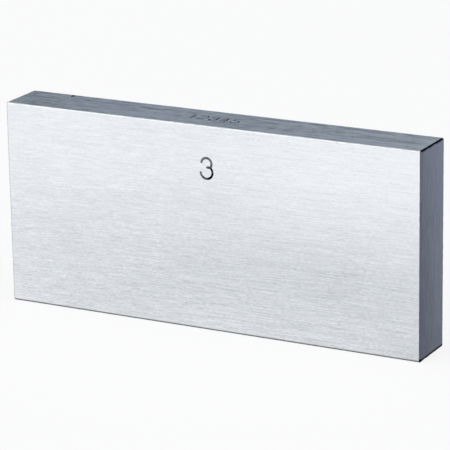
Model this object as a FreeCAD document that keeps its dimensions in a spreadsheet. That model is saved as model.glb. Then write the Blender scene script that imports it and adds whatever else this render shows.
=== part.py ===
import FreeCAD, Part
import math
import os
import Sketcher
from FreeCAD import Vector

# A rectangular gauge block, in millimetres: one hardened steel bar, ground on its four sides
# and lapped on its two measuring faces, which are the ends of its longest dimension.
# X runs from one measuring face to the other, Y through the thickness and Z up.
# The block stands on one long narrow face, with its marked broad face towards -Y.
# The origin is at the middle of the face that it stands on.

SIZES = {
    # Distance between the two measuring faces: three inches.
    "nominal_length": 76.2,
    # The section that standard rectangular blocks over 10 mm long share.
    "section_height": 35.0,
    "section_thickness": 9.0,
    # Broken edges, wider round the lapped faces than along the ground sides.
    "measuring_edge_chamfer": 0.3,
    "side_edge_chamfer": 0.2,
    # Depth of every marked line below the face that carries it.
    "marking_depth": 0.05,
    # The size figure on the broad face: outer height, line width, and distance below the top.
    "figure_height": 3.9,
    "figure_line": 0.4,
    "figure_drop": 5.25,
    # The row of small figures on the top face: outer height, line width and pitch, and how
    # far the middle of the row lies from the middle of the block.
    "row_height": 2.45,
    "row_line": 0.28,
    "row_pitch": 2.0,
    "row_offset": -0.8,
    # A nick in the upper back edge: distance from the left measuring face, width at the edge,
    # reach across the top face and depth.
    "nick_from_end": 8.3,
    "nick_width": 0.4,
    "nick_reach": 0.8,
    "nick_depth": 0.15,
}

# Each figure is drawn with single strokes of one line width. A point is given as a share of
# the height between the middles of the highest and lowest lines, from the lower left.
# ("line", start, end) or ("arc", centre, radius, start angle, end angle), anticlockwise.
BOWL_OF_TWO = 0.30
UPPER_BOWL = 0.266
LOWER_BOWL = 0.309
BOWL_OF_FIVE = 0.33


def polar(centre, radius, angle):
    """The point at an angle, in degrees, on a circle."""
    turn = math.radians(angle)
    return (centre[0] + radius * math.cos(turn), centre[1] + radius * math.sin(turn))


def strokes_of_one():
    stem = 0.36
    return [("line", (0.10, 0.80), (stem, 1.0)), ("line", (stem, 1.0), (stem, 0.0))]


def strokes_of_two():
    centre = (BOWL_OF_TWO, 1.0 - BOWL_OF_TWO)
    leaves_bowl = -38.0
    return [
        ("arc", centre, BOWL_OF_TWO, leaves_bowl, 165.0),
        ("line", polar(centre, BOWL_OF_TWO, leaves_bowl), (0.0, 0.0)),
        ("line", (0.0, 0.0), (2 * BOWL_OF_TWO, 0.0)),
    ]


def strokes_of_three():
    """Two bowls of unequal radius that cross at the right, and a short bar from the crossing."""
    upper = (LOWER_BOWL, 1.0 - UPPER_BOWL)
    lower = (LOWER_BOWL, LOWER_BOWL)
    apart = upper[1] - lower[1]
    rise = (apart**2 + LOWER_BOWL**2 - UPPER_BOWL**2) / (2 * apart)
    crossing_on_lower = math.degrees(math.asin(rise / LOWER_BOWL))
    crossing_on_upper = math.degrees(math.asin((rise - apart) / UPPER_BOWL))
    crossing = polar(lower, LOWER_BOWL, crossing_on_lower)
    waist = (lower[0] + 0.04, crossing[1])
    return [
        ("arc", upper, UPPER_BOWL, crossing_on_upper, 170.0),
        ("arc", lower, LOWER_BOWL, 186.0, 360.0 + crossing_on_lower),
        ("line", waist, crossing),
    ]


def strokes_of_four():
    stem = 0.44
    bar = 0.30
    return [
        ("line", (stem, 1.0), (0.0, bar)),
        ("line", (0.0, bar), (0.62, bar)),
        ("line", (stem, 1.0), (stem, 0.0)),
    ]


def strokes_of_five():
    centre = (0.27, BOWL_OF_FIVE)
    enters_bowl = 125.0
    return [
        ("line", (0.12, 1.0), (0.56, 1.0)),
        ("line", (0.12, 1.0), polar(centre, BOWL_OF_FIVE, enters_bowl)),
        ("arc", centre, BOWL_OF_FIVE, 216.0, 360.0 + enters_bowl),
    ]


# What is marked: one figure on the broad face and a row of five on the top face.
BROAD_FACE_FIGURE = strokes_of_three()
TOP_FACE_FIGURES = [
    strokes_of_one(),
    strokes_of_two(),
    strokes_of_three(),
    strokes_of_four(),
    strokes_of_five(),
]
# Width of a figure's cell between line middles, as a share of the same height.
CELL_WIDTH = 2 * LOWER_BOWL


def fill_sheet(doc):
    """Put the driving dimensions in a spreadsheet, one alias each."""
    sheet = doc.addObject("Spreadsheet::Sheet", "Dimensions")
    for row, (name, value) in enumerate(SIZES.items(), start=1):
        sheet.set(f"A{row}", name)
        sheet.set(f"B{row}", str(value))
        sheet.setAlias(f"B{row}", name)
    doc.recompute()
    return sheet


def sketch_on(body, role, name):
    """A new sketch on one of the body's own origin planes."""
    plane = next(item for item in body.Origin.OriginFeatures if item.Role == role)
    sketch = body.newObject("Sketcher::SketchObject", name)
    sketch.AttachmentSupport = [(plane, "")]
    sketch.MapMode = "FlatFace"
    return sketch


def drive(sketch, kind, parts, name, formula):
    """Add a dimension to a sketch and bind it to a formula of sheet cells."""
    value = sketch.evalExpression(formula)
    value = float(getattr(value, "Value", value))
    index = sketch.addConstraint(Sketcher.Constraint(kind, *parts, value))
    sketch.renameConstraint(index, name)
    sketch.setExpression(f"Constraints.{name}", formula)


def section_sketch(body):
    """The rectangular section, standing on the origin and centred across it."""
    sketch = sketch_on(body, "YZ_Plane", "section")
    half = SIZES["section_thickness"] / 2
    top = SIZES["section_height"]
    corners = [Vector(-half, 0), Vector(half, 0), Vector(half, top), Vector(-half, top)]
    sides = [Part.LineSegment(corners[i], corners[(i + 1) % 4]) for i in range(4)]
    bottom, right, upper, left = sketch.addGeometry(sides)
    for this, following in ((bottom, right), (right, upper), (upper, left), (left, bottom)):
        sketch.addConstraint(Sketcher.Constraint("Coincident", this, 2, following, 1))
    for side in (bottom, upper):
        sketch.addConstraint(Sketcher.Constraint("Horizontal", side))
    for side in (right, left):
        sketch.addConstraint(Sketcher.Constraint("Vertical", side))
    sketch.addConstraint(Sketcher.Constraint("Symmetric", bottom, 1, bottom, 2, -1, 1))
    drive(sketch, "DistanceX", (bottom, 1, bottom, 2), "thickness", "Dimensions.section_thickness")
    drive(sketch, "DistanceY", (right, 1, right, 2), "height", "Dimensions.section_height")
    return sketch


def edges_where(feature, test):
    """Names of the feature's edges that pass a test."""
    return [f"Edge{i}" for i, edge in enumerate(feature.Shape.Edges, start=1) if test(edge)]


def break_edges(body, base, name, cell, test):
    """Chamfer the chosen edges of the last feature."""
    chamfer = body.newObject("PartDesign::Chamfer", name)
    chamfer.Base = (base, edges_where(base, test))
    chamfer.setExpression("Size", f"Dimensions.{cell}")
    body.Document.recompute()
    return chamfer


def runs_lengthwise(edge):
    """True for an edge along X."""
    start, end = (vertex.Point for vertex in edge.Vertexes)
    along = abs(end.x - start.x)
    return along > 0.99 * edge.Length


def cut_pocket(body, sketch, name, depth_cell):
    """Sink a sketch into the body and make sure that it removed material."""
    before = body.Shape.Volume
    pocket = body.newObject("PartDesign::Pocket", name)
    pocket.Profile = sketch
    pocket.Type = "Length"
    pocket.setExpression("Length", f"Dimensions.{depth_cell}")
    body.Document.recompute()
    if not body.Shape.Volume < before:
        raise RuntimeError(f"{name} removed nothing")


def on_figure(share, mark):
    """A share of a figure's height as a formula, measured from its outer lower left."""
    line = f"Dimensions.{mark}_line"
    return f"{line} / 2 + {share:.5f} * (Dimensions.{mark}_height - {line})"


def pin(sketch, geometry, point, place, mark, name):
    """Fix a point of the sketch at its place in the figure."""
    for kind, axis, share in (("DistanceX", "x", place[0]), ("DistanceY", "y", place[1])):
        drive(sketch, kind, (-1, 1, geometry, point), f"{name}_{axis}", on_figure(share, mark))


def to_sketch(place, mark):
    """A place in the figure as a point of the sketch, in millimetres."""
    line = SIZES[f"{mark}_line"]
    scale = SIZES[f"{mark}_height"] - line
    return Vector(line / 2 + place[0] * scale, line / 2 + place[1] * scale)


def part_circle(centre, radius, start, end):
    """Anticlockwise part of a circle, with its angles in degrees."""
    circle = Part.Circle(centre, Vector(0, 0, 1), radius)
    return Part.ArcOfCircle(circle, math.radians(start), math.radians(end))


def line_slot(sketch, stroke, mark):
    """Outline of a straight stroke with round ends."""
    start, end = (to_sketch(place, mark) for place in stroke[1:])
    half = SIZES[f"{mark}_line"] / 2
    heading = math.degrees(math.atan2(end.y - start.y, end.x - start.x))
    side = half * Vector(-math.sin(math.radians(heading)), math.cos(math.radians(heading)))
    end_cap, left, start_cap, right = sketch.addGeometry([
        part_circle(end, half, heading - 90, heading + 90),
        Part.LineSegment(end + side, start + side),
        part_circle(start, half, heading + 90, heading + 270),
        Part.LineSegment(start - side, end - side),
    ])
    for this, following in ((end_cap, left), (left, start_cap), (start_cap, right), (right, end_cap)):
        sketch.addConstraint(Sketcher.Constraint("Tangent", this, 2, following, 1))
    sketch.addConstraint(Sketcher.Constraint("Equal", end_cap, start_cap))
    drive(sketch, "Radius", (end_cap,), "half_line", f"Dimensions.{mark}_line / 2")
    pin(sketch, start_cap, 3, stroke[1], mark, "start")
    pin(sketch, end_cap, 3, stroke[2], mark, "end")


def arc_slot(sketch, stroke, mark):
    """Outline of a curved stroke with round ends."""
    _, middle, share, start, end = stroke
    half = SIZES[f"{mark}_line"] / 2
    radius = share * (SIZES[f"{mark}_height"] - 2 * half)
    centre = to_sketch(middle, mark)
    from_place = polar(middle, share, start)
    to_place = polar(middle, share, end)
    outer, end_cap, inner, start_cap = sketch.addGeometry([
        part_circle(centre, radius + half, start, end),
        part_circle(to_sketch(to_place, mark), half, end, end + 180),
        part_circle(centre, radius - half, start, end),
        part_circle(to_sketch(from_place, mark), half, start + 180, start + 360),
    ])
    sketch.addConstraint(Sketcher.Constraint("Tangent", outer, 2, end_cap, 1))
    sketch.addConstraint(Sketcher.Constraint("Tangent", end_cap, 2, inner, 2))
    sketch.addConstraint(Sketcher.Constraint("Tangent", inner, 1, start_cap, 1))
    sketch.addConstraint(Sketcher.Constraint("Tangent", start_cap, 2, outer, 1))
    sketch.addConstraint(Sketcher.Constraint("Coincident", outer, 3, inner, 3))
    drive(sketch, "Radius", (start_cap,), "half_line", f"Dimensions.{mark}_line / 2")
    pin(sketch, outer, 3, middle, mark, "centre")
    pin(sketch, start_cap, 3, from_place, mark, "start")
    across = abs(math.sin(math.radians(end))) > abs(math.cos(math.radians(end)))
    kind, axis = ("DistanceX", 0) if across else ("DistanceY", 1)
    drive(sketch, kind, (-1, 1, end_cap, 3), "end", on_figure(to_place[axis], mark))


def mark_figure(body, role, mark, figure, name, left, base, face):
    """Sink one figure into a face, stroke by stroke, from its outer lower left."""
    for number, stroke in enumerate(figure, start=1):
        sketch = sketch_on(body, role, f"{name}_path_{number}")
        sketch.setExpression("AttachmentOffset.Base.x", left)
        sketch.setExpression("AttachmentOffset.Base.y", base)
        sketch.setExpression("AttachmentOffset.Base.z", face)
        if stroke[0] == "line":
            line_slot(sketch, stroke, mark)
        else:
            arc_slot(sketch, stroke, mark)
        cut_pocket(body, sketch, f"{name}_stroke_{number}", "marking_depth")


def cell_width(mark):
    """Outer width of a figure's cell as a formula."""
    line = f"Dimensions.{mark}_line"
    return f"({line} + {CELL_WIDTH:.5f} * (Dimensions.{mark}_height - {line}))"


def mark_size(body):
    """The size figure, centred along the broad face and near its top."""
    left = f"-{cell_width('figure')} / 2"
    base = "Dimensions.section_height - Dimensions.figure_drop - Dimensions.figure_height"
    face = "Dimensions.section_thickness / 2"
    mark_figure(body, "XZ_Plane", "figure", BROAD_FACE_FIGURE, "size", left, base, face)


def mark_row(body):
    """The row of small figures along the middle of the top face, read from the front."""
    base = "-Dimensions.row_height / 2"
    face = "Dimensions.section_height"
    middle = (len(TOP_FACE_FIGURES) - 1) / 2
    for place, figure in enumerate(TOP_FACE_FIGURES):
        centre = f"Dimensions.row_offset + {place - middle} * Dimensions.row_pitch"
        left = f"{centre} - {cell_width('row')} / 2"
        mark_figure(body, "XY_Plane", "row", figure, f"row_{place + 1}", left, base, face)


def nick_edge(body):
    """A small three-cornered nick that reaches in from the upper back edge."""
    sketch = sketch_on(body, "XY_Plane", "nick_outline")
    middle = "Dimensions.nick_from_end - Dimensions.nominal_length / 2"
    sketch.setExpression("AttachmentOffset.Base.x", middle)
    sketch.setExpression("AttachmentOffset.Base.y", "Dimensions.section_thickness / 2")
    sketch.setExpression("AttachmentOffset.Base.z", "Dimensions.section_height")
    half = SIZES["nick_width"] / 2
    tip = Vector(0, -SIZES["nick_reach"])
    corners = [tip, Vector(half, 0), Vector(-half, 0)]
    sides = [Part.LineSegment(corners[i], corners[(i + 1) % 3]) for i in range(3)]
    right, back, left = sketch.addGeometry(sides)
    for this, following in ((right, back), (back, left), (left, right)):
        sketch.addConstraint(Sketcher.Constraint("Coincident", this, 2, following, 1))
    sketch.addConstraint(Sketcher.Constraint("Symmetric", back, 1, back, 2, -1, 1))
    sketch.addConstraint(Sketcher.Constraint("PointOnObject", right, 1, -2))
    drive(sketch, "DistanceX", (back, 2, back, 1), "width", "Dimensions.nick_width")
    drive(sketch, "DistanceY", (right, 1, -1, 1), "reach", "Dimensions.nick_reach")
    cut_pocket(body, sketch, "nick", "nick_depth")


def make_block(doc):
    """The whole block as one body: ground bar, broken edges, markings and nick."""
    body = doc.addObject("PartDesign::Body", "GaugeBlock")
    body.Label = "gauge_block"
    body.Placement = FreeCAD.Placement()
    bar = body.newObject("PartDesign::Pad", "bar")
    bar.Profile = section_sketch(body)
    bar.SideType = "Symmetric"
    bar.setExpression("Length", "Dimensions.nominal_length")
    doc.recompute()
    ends = break_edges(body, bar, "measuring_edges", "measuring_edge_chamfer",
                       lambda edge: not runs_lengthwise(edge))
    break_edges(body, ends, "side_edges", "side_edge_chamfer", runs_lengthwise)
    mark_size(body)
    mark_row(body)
    nick_edge(body)
    return body


def check(doc, parts):
    """Stop if any feature failed or any part's shape isn't one valid solid."""
    doc.recompute()
    for item in doc.Objects:
        if {"Invalid", "Error"} & set(item.State):
            raise RuntimeError(f"{item.Name} failed: {item.State}")
    for part in parts:
        shape = part.Shape
        if shape.isNull() or not shape.isValid() or len(shape.Solids) != 1:
            raise RuntimeError(f"{part.Label} has no single valid solid")


def main():
    doc = FreeCAD.newDocument("gauge_block")
    fill_sheet(doc)
    parts = [make_block(doc)]
    check(doc, parts)
    os.makedirs("parts", exist_ok=True)
    for part in parts:
        part.Shape.exportStep(f"parts/{part.Label}.step")
        print(part.Label, part.Shape.BoundBox, f"{part.Shape.Volume:.2f} mm3")


main()
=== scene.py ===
import math

import bmesh
import bpy
from mathutils import Matrix, Vector, noise


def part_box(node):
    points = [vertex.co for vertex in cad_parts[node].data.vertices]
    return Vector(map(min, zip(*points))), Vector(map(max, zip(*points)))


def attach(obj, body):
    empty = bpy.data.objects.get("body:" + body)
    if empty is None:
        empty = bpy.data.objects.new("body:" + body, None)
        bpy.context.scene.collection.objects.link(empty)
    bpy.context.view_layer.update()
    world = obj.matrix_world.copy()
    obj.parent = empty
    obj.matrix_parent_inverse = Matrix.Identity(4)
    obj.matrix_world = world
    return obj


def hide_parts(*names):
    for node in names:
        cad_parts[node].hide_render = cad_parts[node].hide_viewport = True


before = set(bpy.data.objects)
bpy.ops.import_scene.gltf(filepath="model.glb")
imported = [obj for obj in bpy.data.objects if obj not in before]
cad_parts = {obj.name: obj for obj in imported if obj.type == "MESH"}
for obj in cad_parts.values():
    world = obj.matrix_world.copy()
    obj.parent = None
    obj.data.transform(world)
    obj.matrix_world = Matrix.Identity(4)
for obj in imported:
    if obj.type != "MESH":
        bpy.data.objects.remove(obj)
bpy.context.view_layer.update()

# A steel gauge block, three inches long: ground sides, lapped ends, blackened figures.
# Shapes are worked out in millimetres in the row frame and scaled to metres at the end.

NODE = "gauge_block"
MM = 0.001
LOW, HIGH = (Vector(corner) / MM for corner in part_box(NODE))
CENTRE = (LOW + HIGH) / 2
LENGTH, THICKNESS, HEIGHT = HIGH - LOW

# Broken edges, and how unevenly they were stoned. Waves are per millimetre.
MEASURING_CHAMFER = 0.3
SIDE_CHAMFER = 0.2
CHAMFER_FACETS = 3
EDGE_PITCH = 0.25
EDGE_UNEVENNESS = 0.035
SLOW_WAVES = 0.9
FAST_WAVES = 3.1

# The marked figures. Each stroke is a hair deeper than the last, so that no two floors coincide.
MARKING_DEPTH = 0.05
STROKE_STEP = 0.0004
WALL_SLOPE = 0.6
ARC_STEP = 6.0
CAP_STEP = 15
FIGURE_HEIGHT = 3.9
FIGURE_LINE = 0.4
FIGURE_DROP = 5.25
ROW_HEIGHT = 2.45
ROW_LINE = 0.28
ROW_PITCH = 2.0
ROW_OFFSET = -0.8

# The nick in the upper back edge.
NICK_FROM_END = 8.3
NICK_WIDTH = 0.6
NICK_REACH = 1.4
NICK_DEPTH = 0.05

# How far a cutter stands out of the surface that it cuts.
CUTTER_RISE = 0.1
NICK_OVERHANG = 0.3

# Limits on a face's unit normal, to tell where it looks.
FLAT = 0.999
MOSTLY = 0.7
FRONTWARD = 0.9
BACKWARD = 0.2
SIDEWAYS = 0.1
STEEPLY_DOWN = 0.5
NEARLY_UPRIGHT = 0.4

# Material slots of the finished piece.
GROUND, LAPPED, BRIGHT_EDGE, PAINTED_SHADE_EDGE, MARKING = range(5)


# ---- Figures: single strokes, as shares of the height between line middles ----

BOWL_OF_TWO = 0.30
UPPER_BOWL = 0.266
LOWER_BOWL = 0.309
BOWL_OF_FIVE = 0.33
CELL_WIDTH = 2 * LOWER_BOWL


def polar(centre, radius, angle):
    """The point at an angle, in degrees, on a circle."""
    turn = math.radians(angle)
    return (centre[0] + radius * math.cos(turn), centre[1] + radius * math.sin(turn))


def line(start, end):
    return [start, end]


def arc(centre, radius, start, end):
    """Points along part of a circle, with its angles in degrees."""
    steps = max(2, math.ceil(abs(end - start) / ARC_STEP))
    return [polar(centre, radius, start + (end - start) * i / steps) for i in range(steps + 1)]


def strokes_of_one():
    stem = 0.36
    return [line((0.10, 0.80), (stem, 1.0)), line((stem, 1.0), (stem, 0.0))]


def strokes_of_two():
    centre = (BOWL_OF_TWO, 1.0 - BOWL_OF_TWO)
    leaves_bowl = -38.0
    return [
        arc(centre, BOWL_OF_TWO, leaves_bowl, 165.0),
        line(polar(centre, BOWL_OF_TWO, leaves_bowl), (0.0, 0.0)),
        line((0.0, 0.0), (2 * BOWL_OF_TWO, 0.0)),
    ]


def strokes_of_three():
    """Two bowls of unequal radius that cross at the right, and a short bar from the crossing."""
    upper = (LOWER_BOWL, 1.0 - UPPER_BOWL)
    lower = (LOWER_BOWL, LOWER_BOWL)
    apart = upper[1] - lower[1]
    rise = (apart**2 + LOWER_BOWL**2 - UPPER_BOWL**2) / (2 * apart)
    crossing_on_lower = math.degrees(math.asin(rise / LOWER_BOWL))
    crossing_on_upper = math.degrees(math.asin((rise - apart) / UPPER_BOWL))
    crossing = polar(lower, LOWER_BOWL, crossing_on_lower)
    waist = (lower[0] + 0.04, crossing[1])
    return [
        arc(upper, UPPER_BOWL, crossing_on_upper, 170.0),
        arc(lower, LOWER_BOWL, 186.0, 360.0 + crossing_on_lower),
        line(waist, crossing),
    ]


def strokes_of_four():
    stem = 0.44
    bar = 0.30
    return [
        line((stem, 1.0), (0.0, bar)),
        line((0.0, bar), (0.62, bar)),
        line((stem, 1.0), (stem, 0.0)),
    ]


def strokes_of_five():
    centre = (0.27, BOWL_OF_FIVE)
    enters_bowl = 125.0
    return [
        line((0.12, 1.0), (0.56, 1.0)),
        line((0.12, 1.0), polar(centre, BOWL_OF_FIVE, enters_bowl)),
        arc(centre, BOWL_OF_FIVE, 216.0, 360.0 + enters_bowl),
    ]


def stroke_outline(path, half):
    """Closed outline of a stroke with round ends, anticlockwise, at a half width."""
    heads = [
        math.degrees(math.atan2(b[1] - a[1], b[0] - a[0])) for a, b in zip(path, path[1:])
    ]
    joints = [heads[0]] + [a + ((b - a + 180) % 360 - 180) / 2 for a, b in zip(heads, heads[1:])]
    joints.append(heads[-1])
    right = [polar(point, half, head - 90) for point, head in zip(path, joints)]
    left = [polar(point, half, head + 90) for point, head in zip(path, joints)]
    cap = range(CAP_STEP, 180, CAP_STEP)
    end_cap = [polar(path[-1], half, joints[-1] - 90 + turn) for turn in cap]
    start_cap = [polar(path[0], half, joints[0] + 90 + turn) for turn in cap]
    return right + end_cap + left[::-1] + start_cap


# ---- Cutters ----


def add_prism(bm, place, top, bottom, above, below):
    """A closed cutter between two matching outlines, above and below a face."""
    upper = [bm.verts.new(place(u, v, above)) for u, v in top]
    lower = [bm.verts.new(place(u, v, -below)) for u, v in bottom]
    bm.faces.new(upper)
    bm.faces.new(lower[::-1])
    count = len(upper)
    for i in range(count):
        j = (i + 1) % count
        bm.faces.new((upper[j], upper[i], lower[i], lower[j]))


def add_figure(bm, place, strokes, height, width):
    """One figure's cutters, a closed prism for each of its strokes."""
    scale = height - width
    for number, path in enumerate(strokes):
        depth = MARKING_DEPTH + STROKE_STEP * number
        points = [(width / 2 + u * scale, width / 2 + v * scale) for u, v in path]
        top = stroke_outline(points, width / 2 + CUTTER_RISE * WALL_SLOPE)
        bottom = stroke_outline(points, width / 2 - depth * WALL_SLOPE)
        add_prism(bm, place, top, bottom, CUTTER_RISE, depth)


def on_front(left, base):
    """Places a figure on the broad face that looks towards -Y."""
    return lambda u, v, out: Vector((left + u, LOW.y - out, base + v))


def on_top(left, base):
    """Places a figure on the top face, read from the front."""
    return lambda u, v, out: Vector((left + u, base + v, HIGH.z + out))


def cell(height, width):
    """Outer width of a figure's cell."""
    return width + CELL_WIDTH * (height - width)


def marking_cutter(bm):
    """The size figure on the front and the row of small figures on the top."""
    left = CENTRE.x - cell(FIGURE_HEIGHT, FIGURE_LINE) / 2
    base = HIGH.z - FIGURE_DROP - FIGURE_HEIGHT
    add_figure(bm, on_front(left, base), strokes_of_three(), FIGURE_HEIGHT, FIGURE_LINE)
    row = [
        strokes_of_one(),
        strokes_of_two(),
        strokes_of_three(),
        strokes_of_four(),
        strokes_of_five(),
    ]
    for place, strokes in enumerate(row):
        middle = CENTRE.x + ROW_OFFSET + (place - (len(row) - 1) / 2) * ROW_PITCH
        left = middle - cell(ROW_HEIGHT, ROW_LINE) / 2
        base = CENTRE.y - ROW_HEIGHT / 2
        add_figure(bm, on_top(left, base), strokes, ROW_HEIGHT, ROW_LINE)


def nick_cutter(bm):
    """A shallow blunt nick that reaches in from the upper back edge and narrows inwards."""
    half = NICK_WIDTH / 2
    outline = [
        (-half / 2, -NICK_REACH),
        (half / 2, -NICK_REACH),
        (half, -NICK_REACH / 2),
        (half, NICK_OVERHANG),
        (-half, NICK_OVERHANG),
        (-half, -NICK_REACH / 2),
    ]
    place = on_top(LOW.x + NICK_FROM_END, HIGH.y)
    add_prism(bm, place, outline, outline, NICK_OVERHANG, NICK_DEPTH)


def cutter_object(name, fill, material):
    """A hidden mesh that a boolean takes away."""
    bm = bmesh.new()
    fill(bm)
    bmesh.ops.recalc_face_normals(bm, faces=bm.faces)
    mesh = bpy.data.meshes.new(name)
    bm.to_mesh(mesh)
    bm.free()
    mesh.materials.append(material)
    item = bpy.data.objects.new(name, mesh)
    bpy.context.scene.collection.objects.link(item)
    return item


# ---- The block ----


def plain_box():
    """The sharp-cornered bar, with each edge's share of the bevel as its weight."""
    bm = bmesh.new()
    bmesh.ops.create_cube(bm, size=1.0)
    for vert in bm.verts:
        vert.co = Vector(a * b for a, b in zip(vert.co, HIGH - LOW)) + CENTRE
    weights = bm.edges.layers.float.new("bevel_weight_edge")
    for edge in bm.edges:
        lengthwise = abs(edge.verts[0].co.x - edge.verts[1].co.x) > LENGTH / 2
        edge[weights] = SIDE_CHAMFER / MEASURING_CHAMFER if lengthwise else 1.0
    mesh = bpy.data.meshes.new("bar")
    bm.to_mesh(mesh)
    bm.free()
    item = bpy.data.objects.new("bar", mesh)
    bpy.context.scene.collection.objects.link(item)
    bevel = item.modifiers.new("broken edges", "BEVEL")
    bevel.limit_method = "WEIGHT"
    bevel.width = MEASURING_CHAMFER
    bevel.segments = CHAMFER_FACETS
    bevel.profile = 0.5
    return item


def applied(item):
    """The object's mesh with its modifiers applied, in place of the old one."""
    depsgraph = bpy.context.evaluated_depsgraph_get()
    mesh = bpy.data.meshes.new_from_object(item.evaluated_get(depsgraph))
    item.modifiers.clear()
    item.data = mesh
    return mesh


def is_side(face):
    """True for one of the six flat sides, between the broken edges."""
    return max(abs(value) for value in face.normal) > FLAT and face.calc_area() > THICKNESS


def insets(point):
    """How far a point lies inside each pair of the bar's sides."""
    return [min(point[i] - LOW[i], HIGH[i] - point[i]) for i in range(3)]


def divide_edges(bm):
    """Split the broken edges into short facets, and close the six sides again."""
    bmesh.ops.delete(bm, geom=[face for face in bm.faces if is_side(face)], context="FACES_ONLY")
    for axis in range(3):
        run = [
            edge
            for edge in bm.edges
            if abs(edge.verts[0].co[axis] - edge.verts[1].co[axis]) > THICKNESS / 2
        ]
        span = max(edge.calc_length() for edge in run)
        bmesh.ops.subdivide_edges(bm, edges=run, cuts=round(span / EDGE_PITCH), use_grid_fill=True)
    border = [edge for edge in bm.edges if edge.is_boundary]
    bmesh.ops.edgeloop_fill(bm, edges=border)
    bmesh.ops.recalc_face_normals(bm, faces=bm.faces)


def roughen_edges(bm):
    """Move the points of the broken edges inwards by small uneven amounts."""
    nearest = 0.001
    furthest = 1.05 * MEASURING_CHAMFER
    for vert in bm.verts:
        depth = insets(vert.co)
        for axis in range(3):
            if not nearest < depth[axis] < furthest:
                continue
            slow = noise.noise(vert.co * SLOW_WAVES + Vector((axis * 7.0, 0, 0)))
            fast = noise.noise(vert.co * FAST_WAVES + Vector((0, axis * 5.0, 3.0)))
            amount = EDGE_UNEVENNESS * max(0.0, 0.45 + 0.7 * slow + 0.6 * fast)
            inward = 1 if vert.co[axis] < CENTRE[axis] else -1
            vert.co[axis] += inward * amount


def finish_of(face):
    """The finish of a side or of one facet of a broken edge, from where it looks. Facets that look
    backwards or a little downwards, and most end-edge facets, get the near-black edge, which is
    painted shade for the dark surroundings and contact gap they reflect.
    """
    out = face.normal
    if is_side(face):
        return LAPPED if abs(out.x) > MOSTLY else GROUND
    if out.y > BACKWARD:
        return PAINTED_SHADE_EDGE
    if abs(out.x) < SIDEWAYS:
        return PAINTED_SHADE_EDGE if -STEEPLY_DOWN < out.z < 0.0 else BRIGHT_EDGE
    if out.x < 0.0 and out.y < -FRONTWARD:
        return GROUND
    return LAPPED if out.x > 0.0 and abs(out.z) < NEARLY_UPRIGHT else PAINTED_SHADE_EDGE


def assign_finishes(bm):
    for face in bm.faces:
        face.material_index = finish_of(face)


def add_grain_map(mesh):
    """A map whose U runs across the grinding lines, which the materials' tangents follow."""
    grain = mesh.uv_layers.new(name="grain")
    for polygon in mesh.polygons:
        on_end = abs(polygon.normal.x) > MOSTLY
        for index in polygon.loop_indices:
            point = mesh.vertices[mesh.loops[index].vertex_index].co
            across = point.y if on_end else point.y + point.z
            along = point.z if on_end else point.x
            grain.data[index].uv = (across / HEIGHT, along / HEIGHT)


def cut_away(item, cutter):
    """Take a cutter out of the block and delete it."""
    cut = item.modifiers.new("cut", "BOOLEAN")
    cut.object = cutter
    cut.operation = "DIFFERENCE"
    cut.solver = "EXACT"
    cut.use_self = True
    cut.material_mode = "TRANSFER"
    applied(item)
    bpy.data.objects.remove(cutter)


def make_block(materials):
    """The finished block as one closed mesh that stands for the CAD solid."""
    item = plain_box()
    mesh = applied(item)
    bm = bmesh.new()
    bm.from_mesh(mesh)
    divide_edges(bm)
    roughen_edges(bm)
    assign_finishes(bm)
    bm.to_mesh(mesh)
    bm.free()
    for material in materials:
        mesh.materials.append(material)
    cut_away(item, cutter_object("marking_cutter", marking_cutter, materials[MARKING]))
    # The nick takes the near-black edge finish: painted shade in the recess.
    cut_away(item, cutter_object("nick_cutter", nick_cutter, materials[PAINTED_SHADE_EDGE]))
    add_grain_map(item.data)
    item.data.transform(Matrix.Scale(MM, 4))
    item.name = "block"
    item.data.name = "block"
    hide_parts(NODE)
    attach(item, "root")
    return item


# ---- Materials ----

# The range that holds nearly all of a noise texture's values.
NOISE_LOW = 0.3
NOISE_HIGH = 0.7

# Reflected colours, as linear red, green and blue.
GROUND_DARK = (0.425, 0.45, 0.478)
GROUND_LIGHT = (0.905, 0.932, 0.962)
# Painted contact shadow along the foot of the ground sides.
GROUND_FOOT_PAINTED_SHADOW = (0.27, 0.28, 0.30)
# The lapped faces' dark colours are painted shade, for the dark surroundings that these mirror
# faces reflect.
LAPPED_PAINTED_SHADE_DARK = (0.110, 0.124, 0.167)
LAPPED_PAINTED_SHADE_LIGHT = (0.215, 0.239, 0.306)
# Painted contact shadow along the foot of the lapped faces.
LAPPED_FOOT_PAINTED_SHADOW = (0.002, 0.002, 0.004)
BRIGHT_EDGE_TONES = ((0.56, 0.58, 0.60), (0.70, 0.72, 0.74))
# Near-black edge colours: painted shade for the dark surroundings and the contact gap that these
# facets reflect, and for the nick.
PAINTED_SHADE_EDGE_TONES = ((0.004, 0.004, 0.006), (0.03, 0.032, 0.04))
BURNT_BLACK = (0.004, 0.004, 0.005)
BURNT_WORN = (0.50, 0.51, 0.53)

# The grinding lines' slope at the block's middle, and how fast it falls off to the right.
LINE_SLOPE = 0.012
LINE_BOW = -0.00016


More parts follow.
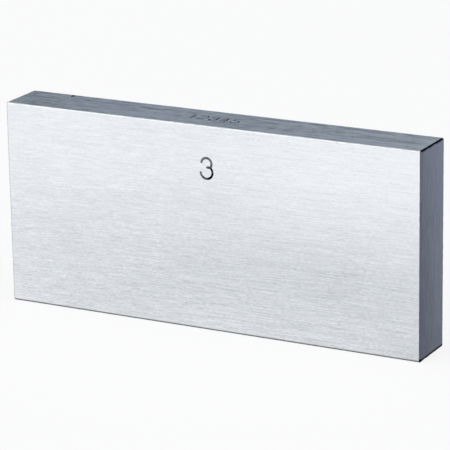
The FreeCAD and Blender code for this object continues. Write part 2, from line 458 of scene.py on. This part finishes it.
class Nodes:
    """Short names for adding and joining the nodes of one material or world."""

    def __init__(self, tree):
        self.tree = tree
        tree.nodes.clear()

    def add(self, kind, settings=None, **inputs):
        node = self.tree.nodes.new(kind)
        for name, value in (settings or {}).items():
            setattr(node, name, value)
        for name, value in inputs.items():
            self.feed(node, name.replace("_", " "), value)
        return node

    def feed(self, node, name, value):
        socket = node.inputs[int(name)] if name.isdigit() else node.inputs[name]
        if isinstance(value, bpy.types.NodeSocket):
            self.tree.links.new(value, socket)
        else:
            socket.default_value = value

    def math(self, operation, first, second=0.0):
        node = self.tree.nodes.new("ShaderNodeMath")
        node.operation = operation
        for place, value in enumerate((first, second)):
            self.feed(node, str(place), value)
        return node.outputs[0]

    def remap(self, value, low, high, to_low, to_high, smooth=False):
        """The value carried from one range to another, and held at the ends."""
        node = self.tree.nodes.new("ShaderNodeMapRange")
        if smooth:
            node.interpolation_type = "SMOOTHSTEP"
        for place, entry in enumerate((value, low, high, to_low, to_high)):
            self.feed(node, str(place), entry)
        return node.outputs[0]

    def noise(self, vector, scale=1.0, detail=2.0, roughness=0.5):
        node = self.add("ShaderNodeTexNoise", Vector=vector)
        node.inputs["Scale"].default_value = scale
        node.inputs["Detail"].default_value = detail
        node.inputs["Roughness"].default_value = roughness
        return node.outputs["Fac"]

    def mix(self, factor, first, second):
        """A colour between two others, each a triple or another node's colour."""
        node = self.add("ShaderNodeMix", {"data_type": "RGBA"})
        self.feed(node, "0", factor)
        for place, colour in (("6", first), ("7", second)):
            self.feed(node, place, (*colour, 1) if isinstance(colour, tuple) else colour)
        return node.outputs[2]

    def scaled(self, vector, x, y, z):
        """The vector with each part multiplied."""
        node = self.add("ShaderNodeVectorMath", {"operation": "MULTIPLY"})
        self.feed(node, "0", vector)
        self.feed(node, "1", (x, y, z))
        return node.outputs[0]

    def parts(self, vector):
        """The X, Y and Z of a vector."""
        return self.add("ShaderNodeSeparateXYZ", Vector=vector).outputs

    def swing(self, noise_value, amount):
        """A noise value turned into an even swing about zero."""
        return self.remap(noise_value, NOISE_LOW, NOISE_HIGH, -amount, amount)

    def total(self, first, *rest):
        """The sum of two or more values."""
        for value in rest:
            first = self.math("ADD", first, value)
        return first

    def difference(self, first, second):
        return self.math("SUBTRACT", first, second)

    def size(self, value):
        """A value without its sign."""
        return self.math("ABSOLUTE", value)

    def product(self, first, second):
        return self.math("MULTIPLY", first, second)


def position(nodes):
    """Position on the block in millimetres."""
    raw = nodes.add("ShaderNodeTexCoord").outputs["Object"]
    return nodes.scaled(raw, 1 / MM, 1 / MM, 1 / MM)


def bent_position(nodes):
    """Position with Y and Z bent to follow the grinding lines, which rise a little at the left."""
    x, y, z = nodes.parts(position(nodes))
    rise = nodes.product(x, LINE_SLOPE)
    bow = nodes.product(nodes.product(x, x), LINE_BOW)
    lift = nodes.total(rise, bow)
    y = nodes.difference(y, lift)
    z = nodes.difference(z, lift)
    return nodes.add("ShaderNodeCombineXYZ", X=x, Y=y, Z=z).outputs[0]


def on_narrow_side(nodes):
    """One on the top and bottom sides, nought on the upright ones."""
    upward = nodes.parts(nodes.add("ShaderNodeTexCoord").outputs["Normal"])["Z"]
    return nodes.remap(nodes.size(upward), 0.6, 0.9, 0.0, 1.0)


def drawn_out(nodes, place, along, across):
    """Noise drawn out lengthwise, with its changes per millimetre along and across the block."""
    return nodes.noise(nodes.scaled(place, along, across, across))


def steel(name, roughness, anisotropy=0.0, edge_tint=1.0):
    """A metal shader with its constant values set, and the nodes to finish it with."""
    material = bpy.data.materials.new(name)
    material.use_nodes = True
    nodes = Nodes(material.node_tree)
    shader = nodes.add("ShaderNodeBsdfPrincipled")
    shader.inputs["Metallic"].default_value = 1.0
    shader.inputs["Roughness"].default_value = roughness
    shader.inputs["Anisotropic"].default_value = anisotropy
    shader.inputs["Specular Tint"].default_value = (edge_tint, edge_tint, edge_tint, 1)
    tangent = nodes.add("ShaderNodeTangent", {"direction_type": "UV_MAP", "uv_map": "grain"})
    nodes.feed(shader, "Tangent", tangent.outputs[0])
    output = nodes.add("ShaderNodeOutputMaterial")
    nodes.feed(output, "Surface", shader.outputs[0])
    return material, nodes, shader


def ground_steel():
    """Bright ground sides with lengthwise lines. Painted shade makes them paler towards the top and
    darker low down towards the right, in place of the darker floor near the block that they
    reflect, and a painted contact shadow darkens them along the foot.

    The narrow sides have the bolder lines, and darken towards their long edges.
    """
    material, nodes, shader = steel("ground_steel", 0.32, anisotropy=0.75)
    place = bent_position(nodes)
    x, y, z = nodes.parts(place)
    narrow = on_narrow_side(nodes)

    short = drawn_out(nodes, place, along=1.6, across=15.0)
    long = drawn_out(nodes, place, along=0.16, across=14.0)
    dashes = drawn_out(nodes, place, along=0.45, across=2.6)
    bold = drawn_out(nodes, place, along=0.025, across=2.6)
    clouds = drawn_out(nodes, place, along=0.05, across=0.12)
    fine = nodes.total(nodes.swing(short, 0.19), nodes.swing(long, 0.17))
    fine = nodes.product(fine, nodes.remap(narrow, 0.0, 1.0, 1.0, 3.6))
    broad = nodes.total(nodes.swing(bold, 0.04), nodes.swing(dashes, 0.04))
    broad = nodes.product(broad, nodes.remap(narrow, 0.0, 1.0, 1.0, 21.0))
    stronger_below = nodes.remap(z, 4.0, 30.0, 1.35, 0.85)
    lines = nodes.product(nodes.total(fine, broad), stronger_below)

    # Painted shade: paler towards the top and darker low down towards the right, for the darker
    # floor near the block that these sides reflect.
    painted_light_share = nodes.remap(z, 9.0, 31.0, 0.0, 1.0, smooth=True)
    lower_tone_with_painted_shade = nodes.remap(x, -38.0, 20.0, 0.63, 0.495)
    upper_tone_with_painted_light = nodes.remap(x, 0.0, 30.0, 0.83, 0.94)
    rise = nodes.product(painted_light_share, nodes.difference(upper_tone_with_painted_light, lower_tone_with_painted_shade))
    rim = nodes.product(narrow, nodes.remap(nodes.size(y), 3.8, 4.3, 0.0, -0.3))
    tone = nodes.total(lower_tone_with_painted_shade, rise, lines, rim, nodes.swing(clouds, 0.04))

    # Painted contact shadow: a dark strip along the foot, where the block meets the floor.
    clear_of_painted_foot_shadow = nodes.remap(nodes.parts(position(nodes))["Z"], 0.30, 0.40, 0.0, 1.0)
    colour = nodes.mix(clear_of_painted_foot_shadow, GROUND_FOOT_PAINTED_SHADOW, nodes.mix(tone, GROUND_DARK, GROUND_LIGHT))
    nodes.feed(shader, "Base Color", colour)
    nodes.feed(shader, "Roughness", nodes.remap(long, NOISE_LOW, NOISE_HIGH, 0.28, 0.36))
    relief = nodes.total(long, bold)
    bump = nodes.add("ShaderNodeBump", Strength=0.25, Distance=0.000004, Height=relief)
    nodes.feed(shader, "Normal", bump.outputs[0])
    return material


def lapped_steel():
    """Measuring faces: smooth and almost mirror-like, their dark base colour painted shade for the
    dark surroundings they reflect, with a painted contact shadow as a black line along the foot.

    Painted shade makes them paler upwards and towards the back. They darken at their upright rims.
    """
    material, nodes, shader = steel("lapped_steel", 0.16, anisotropy=0.3, edge_tint=0.6)
    place = position(nodes)
    _, y, z = nodes.parts(place)
    lines = nodes.noise(nodes.scaled(place, 1.0, 2.6, 0.25), detail=3.0, roughness=0.6)
    clouds = nodes.noise(nodes.scaled(place, 0.1, 0.25, 0.08))
    # Painted shade: paler upwards and towards the back.
    upward = nodes.remap(z, 0.0, 35.0, -0.28, 0.20)
    backward_painted_shade = nodes.remap(y, -4.5, 4.5, 0.28, 0.82)
    rim = nodes.remap(nodes.size(y), 3.9, 4.2, 0.0, -0.25)
    tone = nodes.total(upward, backward_painted_shade, rim, nodes.swing(lines, 0.28), nodes.swing(clouds, 0.1))
    # Painted contact shadow: a black line along the foot.
    clear_of_painted_foot_shadow = nodes.remap(z, 0.56, 0.64, 0.0, 1.0)
    colour = nodes.mix(clear_of_painted_foot_shadow, LAPPED_FOOT_PAINTED_SHADOW, nodes.mix(tone, LAPPED_PAINTED_SHADE_DARK, LAPPED_PAINTED_SHADE_LIGHT))
    nodes.feed(shader, "Base Color", colour)
    nodes.feed(shader, "Roughness", nodes.remap(lines, NOISE_LOW, NOISE_HIGH, 0.14, 0.19))
    return material


def edge_steel(name, tones, roughness, edge_tint=1.0):
    """Stoned edges, uneven along their length. The paler patches are the smoother ones."""
    material, nodes, shader = steel(name, roughness, edge_tint=edge_tint)
    patches = nodes.noise(nodes.scaled(position(nodes), 0.8, 2.0, 0.8), detail=4.0, roughness=0.6)
    tone = nodes.remap(patches, NOISE_LOW, NOISE_HIGH, 0.0, 1.0)
    nodes.feed(shader, "Base Color", nodes.mix(tone, *tones))
    nodes.feed(shader, "Roughness", nodes.remap(tone, 0.0, 1.0, roughness + 0.08, roughness - 0.05))
    return material


def marking_black():
    """The burnt floor of a marked line.

    The size figure is blackest in its lower bowl and worn elsewhere. The small figures are black.
    """
    material, nodes, shader = steel("marking_black", 0.6)
    place = position(nodes)
    blackest = (0.8, LOW.y, HIGH.z - FIGURE_DROP - 0.7 * FIGURE_HEIGHT)
    away = nodes.add("ShaderNodeVectorMath", {"operation": "DISTANCE"})
    nodes.feed(away, "0", place)
    nodes.feed(away, "1", blackest)
    upright = nodes.difference(1.0, on_narrow_side(nodes))
    worn = nodes.product(nodes.remap(away.outputs["Value"], 0.7, 2.0, 0.0, 0.42), upright)
    patches = nodes.noise(place, scale=1.9, detail=3.0, roughness=0.6)
    tone = nodes.total(worn, nodes.product(nodes.swing(patches, 0.24), upright))
    nodes.feed(shader, "Base Color", nodes.mix(tone, BURNT_BLACK, BURNT_WORN))
    nodes.feed(shader, "Roughness", nodes.remap(tone, 0.0, 1.0, 0.7, 0.4))
    return material


def all_finishes():
    """One material for each slot, in the order of the slot numbers."""
    return [
        ground_steel(),
        lapped_steel(),
        edge_steel("bright_edge", BRIGHT_EDGE_TONES, 0.3),
        # The dark edge is painted shade: near-black facets in place of reflected dark surroundings.
        edge_steel("painted_shade_edge", PAINTED_SHADE_EDGE_TONES, 0.35, edge_tint=0.0),
        marking_black(),
    ]


# ---- Studio ----

# Metres, degrees, and linear colours and radiances.
FLOOR_SIZE = 6.0
FLOOR_DROP = 0.00002
FLOOR_GLOW = 0.85
FLOOR_WHITE = (0.96, 0.96, 0.96, 1)
ROOM_PALE = (0.85, 0.86, 0.87)
ROOM_DARK = (0.136, 0.179, 0.236)
CAMERA_AZIMUTH = 28.07
CAMERA_ELEVATION = 16.73
CAMERA_ROLL = -0.945
CAMERA_DISTANCE = 0.452
CAMERA_AIM = (0.00071, 0.00025, -0.00052)
CAMERA_LENS = 219.0


def background_rays(nodes):
    """One for rays that see the background itself: camera, glossy and transmission rays."""
    rays = nodes.add("ShaderNodeLightPath")
    seen = nodes.math("MAXIMUM", rays.outputs["Is Camera Ray"], rays.outputs["Is Glossy Ray"])
    return nodes.math("MAXIMUM", seen, rays.outputs["Is Transmission Ray"])


def make_floor():
    """A plain white floor that keeps the block's shadow."""
    half = FLOOR_SIZE / 2
    mesh = bpy.data.meshes.new("floor")
    corners = [(-half, -half), (half, -half), (half, half), (-half, half)]
    mesh.from_pydata([(x, y, -FLOOR_DROP) for x, y in corners], [], [(0, 1, 2, 3)])
    item = bpy.data.objects.new("floor", mesh)
    bpy.context.scene.collection.objects.link(item)
    material = bpy.data.materials.new("floor")
    material.use_nodes = True
    nodes = Nodes(material.node_tree)
    matt = nodes.add("ShaderNodeBsdfDiffuse", Color=FLOOR_WHITE)
    glow = nodes.add("ShaderNodeEmission", Color=(1, 1, 1, 1), Strength=1.0)
    share = nodes.product(background_rays(nodes), FLOOR_GLOW)
    both = nodes.add("ShaderNodeMixShader")
    nodes.feed(both, "0", share)
    nodes.feed(both, "1", matt.outputs[0])
    nodes.feed(both, "2", glow.outputs[0])
    output = nodes.add("ShaderNodeOutputMaterial")
    nodes.feed(output, "Surface", both.outputs[0])
    mesh.materials.append(material)


def make_world():
    """A pale room, bright at the horizon and in front, cooler and darker above the back."""
    world = bpy.data.worlds.new("studio")
    bpy.context.scene.world = world
    world.use_nodes = True
    nodes = Nodes(world.node_tree)
    x, y, z = nodes.parts(nodes.add("ShaderNodeTexCoord").outputs["Generated"])
    behind = nodes.remap(y, -0.1, 0.45, 0.0, 1.0, smooth=True)
    above = nodes.remap(z, 0.03, 0.10, 0.0, 1.0, smooth=True)
    below_zenith = nodes.remap(z, 0.65, 0.95, 1.0, 0.0, smooth=True)
    leftward = nodes.remap(x, -0.52, -0.10, 1.0, 0.82)
    dark = nodes.product(nodes.product(behind, above), nodes.product(below_zenith, leftward))
    colour = nodes.mix(dark, ROOM_PALE, ROOM_DARK)
    background = nodes.add("ShaderNodeBackground", Color=colour, Strength=1.0)
    output = nodes.add("ShaderNodeOutputWorld")
    nodes.feed(output, "Surface", background.outputs[0])


def add_softbox(name, place, width, height, radiance):
    """A rectangular lamp aimed at the block's middle, set by its brightness."""
    lamp = bpy.data.lights.new(name, "AREA")
    lamp.shape = "RECTANGLE"
    lamp.size = width
    lamp.size_y = height
    lamp.energy = radiance * math.pi * width * height
    item = bpy.data.objects.new(name, lamp)
    item.location = Vector(place)
    aim = CENTRE * MM - item.location
    item.rotation_euler = aim.to_track_quat("-Z", "Y").to_euler()
    bpy.context.scene.collection.objects.link(item)


def make_camera():
    """The camera, from its bearing round the block, its distance and its aim."""
    azimuth = math.radians(CAMERA_AZIMUTH)
    elevation = math.radians(CAMERA_ELEVATION)
    back = Vector(
        (
            math.sin(azimuth) * math.cos(elevation),
            -math.cos(azimuth) * math.cos(elevation),
            math.sin(elevation),
        )
    )
    aim = CENTRE * MM + Vector(CAMERA_AIM)
    lens = bpy.data.cameras.new("camera")
    lens.sensor_width = 36.0
    lens.lens = CAMERA_LENS
    lens.clip_start = 0.01
    lens.clip_end = 20.0
    item = bpy.data.objects.new("camera", lens)
    item.location = CENTRE * MM + back * CAMERA_DISTANCE
    look = (aim - item.location).to_track_quat("-Z", "Y")
    roll = Matrix.Rotation(math.radians(CAMERA_ROLL), 3, "Z")
    item.rotation_euler = (look.to_matrix() @ roll).to_euler()
    bpy.context.scene.collection.objects.link(item)
    bpy.context.scene.camera = item


def make_studio():
    make_floor()
    make_world()
    add_softbox("key", (-0.42, -0.55, 0.42), width=0.5, height=0.5, radiance=1.3)
    add_softbox("overhead", (-0.1, -0.05, 0.8), width=0.6, height=0.5, radiance=0.15)
    make_camera()
    bpy.context.scene.view_settings.view_transform = "Standard"


make_block(all_finishes())
make_studio()
